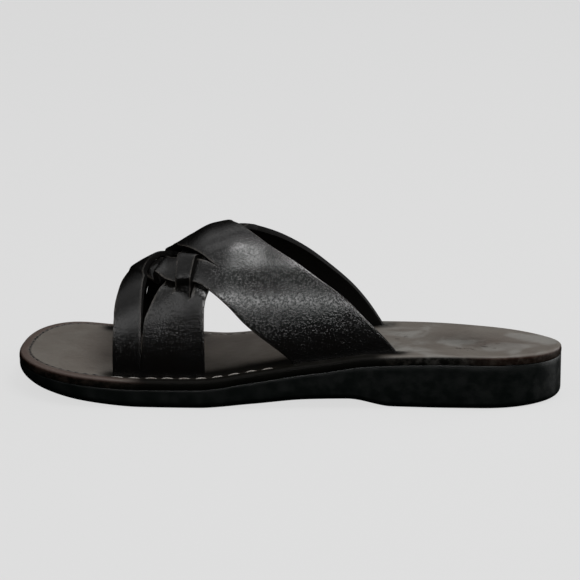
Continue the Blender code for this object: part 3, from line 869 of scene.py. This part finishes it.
def join_rows(bm, rows):
    """Faces between neighbouring rows of points."""
    for low, high in zip(rows, rows[1:]):
        for k in range(len(low) - 1):
            bm.faces.new((low[k], low[k + 1], high[k + 1], high[k]))


def thicken(sheet, thickness):
    wall = sheet.modifiers.new("wall", "SOLIDIFY")
    wall.thickness = thickness
    wall.offset = 0.0
    wall.use_even_offset = True
    return wall


def strap(name, strips, columns, rows):
    """One strap: its strips share their edge where they are joined and part where a slit is open."""
    bm = bmesh.new()
    before = None
    for strip in strips:
        verts = []
        for r, line in enumerate(strip_rows(strip, strips, columns, rows)):
            made = []
            for k, point in enumerate(line):
                if k == 0 and before is not None:
                    mate = before[r][-1]
                    if (mate.co - point).length < SLIT_OPEN:
                        made.append(mate)
                        continue
                made.append(bm.verts.new(point))
            verts.append(made)
        join_rows(bm, verts)
        before = verts
    bmesh.ops.recalc_face_normals(bm, faces=bm.faces)
    crest = max(bm.faces, key=lambda face: face.calc_center_median().z)
    if crest.normal.z < 0:
        bmesh.ops.reverse_faces(bm, faces=bm.faces)
    cut_edges = [edge for edge in bm.edges if edge.is_boundary]
    cut_points = [edge.verts[0].co.copy() for edge in cut_edges]
    piece = new_piece(name, bm)
    wall = thicken(piece, STRAP_WALL)
    wall.material_offset = 1
    wall.material_offset_rim = 1
    corners = piece.modifiers.new("cut_corners", "BEVEL")
    corners.width = EDGE_ROUND
    corners.segments = 3
    corners.limit_method = "ANGLE"
    corners.angle_limit = math.radians(55)
    corners.material = -1
    piece.data.materials.append(strap_leather.material)
    piece.data.materials.append(cut_edge.material)
    bake_modifiers(piece)
    mark_edges(piece, cut_points)
    smooth_faces(piece, 50)
    return piece


def point_tree(points):
    tree = kdtree.KDTree(len(points))
    for i, point in enumerate(points):
        tree.insert(point, i)
    tree.balance()
    return tree


def mark_edges(piece, cut_points):
    """Store the edge wear and painted highlight of each point: 1 on a cut edge near the crest, 0 away from the edges
    and low down.
    """
    tree = point_tree(cut_points)
    worn_edge_highlight = []
    for vert in piece.data.vertices:
        worn_edge_highlight.append((1 - ease(tree.find(vert.co)[2], *EDGE_PALE_REACH)) * ease(vert.co.z, *EDGE_PALE_HEIGHTS))
    piece.data.attributes.new("cut_edge_wear_and_highlight", "FLOAT", "POINT").data.foreach_set("value", worn_edge_highlight)


def pebbled(finish, size):
    """Height of pebble grain: rounded cells of about this size with fine creases between them."""
    warped = finish.add("ShaderNodeTexNoise", {"Vector": finish.place, "Scale": 0.45 / size, "Detail": 2.0})
    shift = finish.add("ShaderNodeVectorMath", {
        0: warped.outputs["Color"], "Scale": size * 0.9}, operation="SCALE")
    place = finish.add("ShaderNodeVectorMath", {0: finish.place, 1: shift.outputs[0]}, operation="ADD")
    cells = finish.add("ShaderNodeTexVoronoi", {
        "Vector": place.outputs[0], "Scale": 1 / size, "Randomness": 0.95, "Smoothness": 0.35,
    }, feature="SMOOTH_F1")
    return finish.grade(cells.outputs["Distance"], 0.05, 0.62, 1.0, 0.0)


PEBBLE_SIZE = 0.00085
LEATHER_BLACK, LEATHER_BROWN = (0.0020, 0.0019, 0.0018), (0.0034, 0.0030, 0.0027)
WORN_HIGHLIGHT_GREY = (0.070, 0.063, 0.056)
EDGE_BLACK, EDGE_BROWN = (0.0011, 0.0010, 0.0008), (0.0026, 0.0021, 0.0017)

strap_leather = Finish("strap_leather")
worn_edge_highlight = strap_leather.mark("cut_edge_wear_and_highlight")
pebbles = pebbled(strap_leather, PEBBLE_SIZE)
wrinkles = strap_leather.clouds(0.0032, detail=5.0, rough=0.65, warp=0.6)
dye = strap_leather.clouds(0.016, detail=5.0, rough=0.6)
dyed = strap_leather.blend(strap_leather.grade(dye, 0.35, 0.70), LEATHER_BLACK, LEATHER_BROWN)
rubbed = strap_leather.grade(wrinkles, 0.40, 0.70, 0.25, 1.0)
# Cut edges near the crest are painted pale grey: partly wear, partly a painted highlight of their light-catching
# corners
worn_and_highlit = strap_leather.sum(worn_edge_highlight, rubbed, "MULTIPLY", clamp=True)
strap_leather.set(
    Base_Color=strap_leather.blend(worn_and_highlit, dyed, WORN_HIGHLIGHT_GREY),
    Roughness=strap_leather.sum(
        strap_leather.grade(pebbles, 0.0, 1.0, 0.22, 0.14),
        strap_leather.grade(dye, 0.30, 0.75, 0.05, -0.04), "ADD"),
    Specular_IOR_Level=0.50,
    Normal=strap_leather.relief(
        pebbles, 0.00010, 0.70, strap_leather.relief(wrinkles, 0.00020, 0.22)),
)

cut_edge = Finish("strap_cut_edge")
fibres = cut_edge.add("ShaderNodeTexNoise", {
    "Vector": cut_edge.place, "Scale": 2200.0, "Detail": 6.0, "Roughness": 0.7}).outputs["Fac"]
cut_edge.set(
    Base_Color=cut_edge.blend(cut_edge.grade(fibres, 0.35, 0.70), EDGE_BLACK, EDGE_BROWN),
    Roughness=cut_edge.grade(fibres, 0.30, 0.70, 0.50, 0.70),
    Specular_IOR_Level=0.10,
    Normal=cut_edge.relief(fibres, 0.00012, 0.6),
)

fore_strap = strap("fore_strap", FORE_STRIPS, FORE_COLUMNS, FORE_ROWS)
rear_strap = strap("rear_strap", REAR_STRIPS, REAR_COLUMNS, REAR_ROWS)
for piece in (fore_strap, rear_strap):
    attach(piece, "root")
    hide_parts("upper")


# Strap slots
# Each strap end goes down through a slot in the footbed and lies glued in a shallow pocket under it. With the slots
# cut, the footbed gets its marks of wear, and painted shade round the slots for the straps' shadow and dark
# reflection.

SLOT_FACES = 10
SLOT_SHADE_REACH = (0.002, 0.010)  # painted strap shade fades between these distances from a slot
EDGE_SHADE_REACH = (0.014, 0.030)  # and between these from the outer edge,
EDGE_SHADE_START, EDGE_SHADE_END = (0.27, 0.34), (0.74, 0.81)  # from the first of these stations to the second
RIM_DEPTH = (0.0001, 0.0012)  # the rim's wear starts and is full this far below the top
LOW_SIDE_DEPTH = (0.0008, 0.0020)
CHANNEL_SHADE_REACH = (0.0003, 0.0009)  # painted shade in the channel fades between these distances from the stitch line
BORDER_REACH = (0.0036, 0.0056)  # the border's stain fades between these distances from the outline


def slot_cutter(columns, rows, side):
    """Room for one strap end: the slot through the footbed and the pocket under it."""
    edges = edges_at(columns, rows, 0.0 if side > 0 else 180.0)
    front, rear = edges["front"] - GAP, edges["rear"] + GAP
    bm = bmesh.new()
    verts = []
    for k in range(SLOT_FACES + 1):
        back = front + (rear - front) * k / SLOT_FACES
        top = footbed_top(1 - back / LENGTH) + STRAP_WALL
        end = turned_end(back, side, TURNED_END + GAP, top, BEND_STEPS)
        verts.append([bm.verts.new(point) for point in end])
    join_rows(bm, verts)
    bmesh.ops.recalc_face_normals(bm, faces=bm.faces)
    cutter = new_piece("slot_cutter", bm)
    thicken(cutter, STRAP_WALL + 2 * GAP)
    bake_modifiers(cutter)
    return cutter


strap_ends = [
    (columns, rows, side)
    for columns, rows in ((FORE_COLUMNS, FORE_ROWS), (REAR_COLUMNS, REAR_ROWS))
    for side in (1, -1)
]
for columns, rows, side in strap_ends:
    cutter = slot_cutter(columns, rows, side)
    for piece in (footbed, outsole):
        slot = piece.modifiers.new("slot", "BOOLEAN")
        slot.object = cutter
        slot.operation = "DIFFERENCE"
        slot.solver = "EXACT"
        bake_modifiers(piece)
    bpy.data.objects.remove(cutter, do_unlink=True)

SLOT_POINTS, LINE_POINTS = 60, 8  # points along a slot, and along each piece of the stitch line
slot_points, groove_points = [], []
for columns, rows, side in strap_ends:
    edges = edges_at(columns, rows, 0.0 if side > 0 else 180.0)
    for i in range(SLOT_POINTS + 1):
        back = edges["front"] + (edges["rear"] - edges["front"]) * i / SLOT_POINTS
        station = 1 - back / LENGTH
        slot_points.append((sole_x(station), slot_edge(station, side), 0.0))
line = sole_outline(CHANNEL_INSET)
for (x, y), (next_x, next_y) in zip(line, line[1:] + line[:1]):
    for i in range(LINE_POINTS):
        share = i / LINE_POINTS
        groove_points.append((x + (next_x - x) * share, y + (next_y - y) * share, 0.0))
slot_tree, groove_tree = point_tree(slot_points), point_tree(groove_points)
outline_tree = point_tree([(x, y, 0.0) for x, y in sole_outline(0.0)])

# Marks: the rounded rim and cut side, the lower part of that side, painted shade in the stitch channel, painted
# shade round the strap slots and along the outer edge between them for the straps' shadow and dark reflection, and
# the border of the top
marks = {name: [] for name in ("rim", "low_side", "groove", "painted_strap_shade", "border")}
for vert in footbed.data.vertices:
    x, y, z = vert.co
    station = min(max(station_at(x), 0.0), 1.0)
    depth = footbed_top(station) - z
    flat = Vector((x, y, 0.0))
    by_slot = 1 - ease(slot_tree.find(flat)[2], *SLOT_SHADE_REACH)
    between = ease(station, *EDGE_SHADE_START) * (1 - ease(station, *EDGE_SHADE_END))
    by_edge = (1 - ease(sole_edge(station, 1) - y, *EDGE_SHADE_REACH)) * between
    marks["rim"].append(ease(depth, *RIM_DEPTH))
    marks["low_side"].append(ease(depth, *LOW_SIDE_DEPTH))
    marks["groove"].append((1 - ease(groove_tree.find(flat)[2], *CHANNEL_SHADE_REACH)) * stitched(x, y))
    marks["painted_strap_shade"].append(max(by_slot, by_edge))
    marks["border"].append(1 - ease(outline_tree.find(flat)[2], *BORDER_REACH))
for name, values in marks.items():
    footbed.data.attributes.new(name, "FLOAT", "POINT").data.foreach_set("value", values)

for piece, finish, node, slot_name in (
    (outsole, rubber, "outsole", "outsole_rubber"),
    (footbed, board, "insole", "footbed_leather"),
):
    piece.data.materials.clear()
    piece.data.materials.append(finish.material)
    smooth_faces(piece, 40)
    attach(piece, "root")
    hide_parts(node)


# Studio
# A plain pale floor and backdrop, soft boxes on every side and above, and the camera at the photograph's angle.
# The boxes and the pale upper part of the room make the sheen of the waxed straps.

FRAME_PIXELS = 580
VIEW_TURN = math.radians(6.4)  # the camera stands this far towards the toe
VIEW_HEIGHT = math.radians(15.5)
VIEW_DISTANCE = 1.6
PIXELS_PER_METRE = 1953.0  # at the point that the camera looks at
LOOK_AT = Vector((0.0, 0.0, 0.030))
ASIDE_PIXELS, UP_PIXELS = 0.68, 38.55  # the sandal stands this far off the middle of the frame
SENSOR = 36.0

look = Vector((
    math.sin(VIEW_TURN) * math.cos(VIEW_HEIGHT),
    -math.cos(VIEW_TURN) * math.cos(VIEW_HEIGHT),
    -math.sin(VIEW_HEIGHT),
))
lens = bpy.data.cameras.new("camera")
lens.sensor_width = SENSOR
lens.lens = PIXELS_PER_METRE * VIEW_DISTANCE / FRAME_PIXELS * SENSOR
lens.shift_x = ASIDE_PIXELS / FRAME_PIXELS
lens.shift_y = UP_PIXELS / FRAME_PIXELS
lens.clip_end = 30.0
camera = bpy.data.objects.new("camera", lens)
camera.location = LOOK_AT - look * VIEW_DISTANCE
camera.rotation_euler = look.to_track_quat("-Z", "Y").to_euler()
bpy.context.scene.collection.objects.link(camera)
bpy.context.scene.camera = camera
bpy.context.scene.view_settings.view_transform = "Standard"

FLOOR_TONE, BACKDROP_TONE = 0.66, 0.708
paper = Finish("pale_floor")
paper_tone = paper.blend(paper.clouds(0.5, detail=2.0), (FLOOR_TONE,) * 3, (FLOOR_TONE * 1.01,) * 3)
paper.set(
    Base_Color=(0.06, 0.06, 0.06, 1.0), Roughness=0.9, Specular_IOR_Level=0.0,
    Emission_Color=paper_tone, Emission_Strength=1.0,
)
bm = bmesh.new()
bmesh.ops.create_grid(bm, x_segments=2, y_segments=2, size=6.0)
floor = new_piece("floor", bm)
floor.data.materials.append(paper.material)
floor.visible_diffuse = False
floor.visible_glossy = False


def soft_box(name, turn, height, distance, width, depth, glow):
    """A soft box seen from the sandal at this turn from the camera's side and this height in degrees."""
    aside, up = math.radians(turn) + VIEW_TURN, math.radians(height)
    place = LOOK_AT + distance * Vector((
        -math.sin(aside) * math.cos(up), math.cos(aside) * math.cos(up), math.sin(up)))
    light = bpy.data.lights.new(name, "AREA")
    light.shape = "RECTANGLE"
    light.size = width
    light.size_y = depth
    light.energy = glow * math.pi * width * depth
    lamp = bpy.data.objects.new(name, light)
    lamp.location = place
    lamp.rotation_euler = (LOOK_AT - place).to_track_quat("-Z", "Y").to_euler()
    bpy.context.scene.collection.objects.link(lamp)


soft_box("front_box", 10.0, 25.0, 1.4, 0.85, 0.14, 14.0)
soft_box("toe_side_box", -45.0, 38.0, 1.4, 1.2, 0.55, 1.3)
soft_box("heel_side_box", 108.0, 14.0, 1.3, 1.1, 0.70, 4.4)
soft_box("overhead_box", 50.0, 70.0, 1.2, 0.75, 0.30, 9.0)
soft_box("top_box", 180.0, 84.0, 1.2, 1.1, 0.60, 1.3)
soft_box("inner_side_box", 184.0, 48.0, 1.5, 1.4, 0.35, 0.5)

# Soft room light: dark up to the first of these heights over the horizon, pale from the second one up. The camera
# sees the plain backdrop instead.
ROOM_GLOW = 0.30
DARK_BELOW, PALE_ABOVE = math.sin(math.radians(18)), math.sin(math.radians(36))
world = bpy.data.worlds.new("studio")
world.use_nodes = True
room = world.node_tree

upward = add_node(room, "ShaderNodeSeparateXYZ", {
    "Vector": add_node(room, "ShaderNodeTexCoord").outputs["Generated"]}).outputs["Z"]
glow = add_node(room, "ShaderNodeMapRange", {
    "Value": upward, "From Min": DARK_BELOW, "From Max": PALE_ABOVE, "To Max": ROOM_GLOW,
}, interpolation_type="SMOOTHSTEP").outputs["Result"]
walls = add_node(room, "ShaderNodeBackground", {"Color": (1.0, 1.0, 1.0, 1.0), "Strength": glow})
backdrop = add_node(room, "ShaderNodeBackground", {"Color": (*(BACKDROP_TONE,) * 3, 1.0)})
seen = add_node(room, "ShaderNodeLightPath").outputs["Is Camera Ray"]
shown = add_node(room, "ShaderNodeMixShader", {0: seen, 1: walls.outputs[0], 2: backdrop.outputs[0]})
room.links.new(shown.outputs[0], room.nodes["World Output"].inputs["Surface"])
bpy.context.scene.world = world
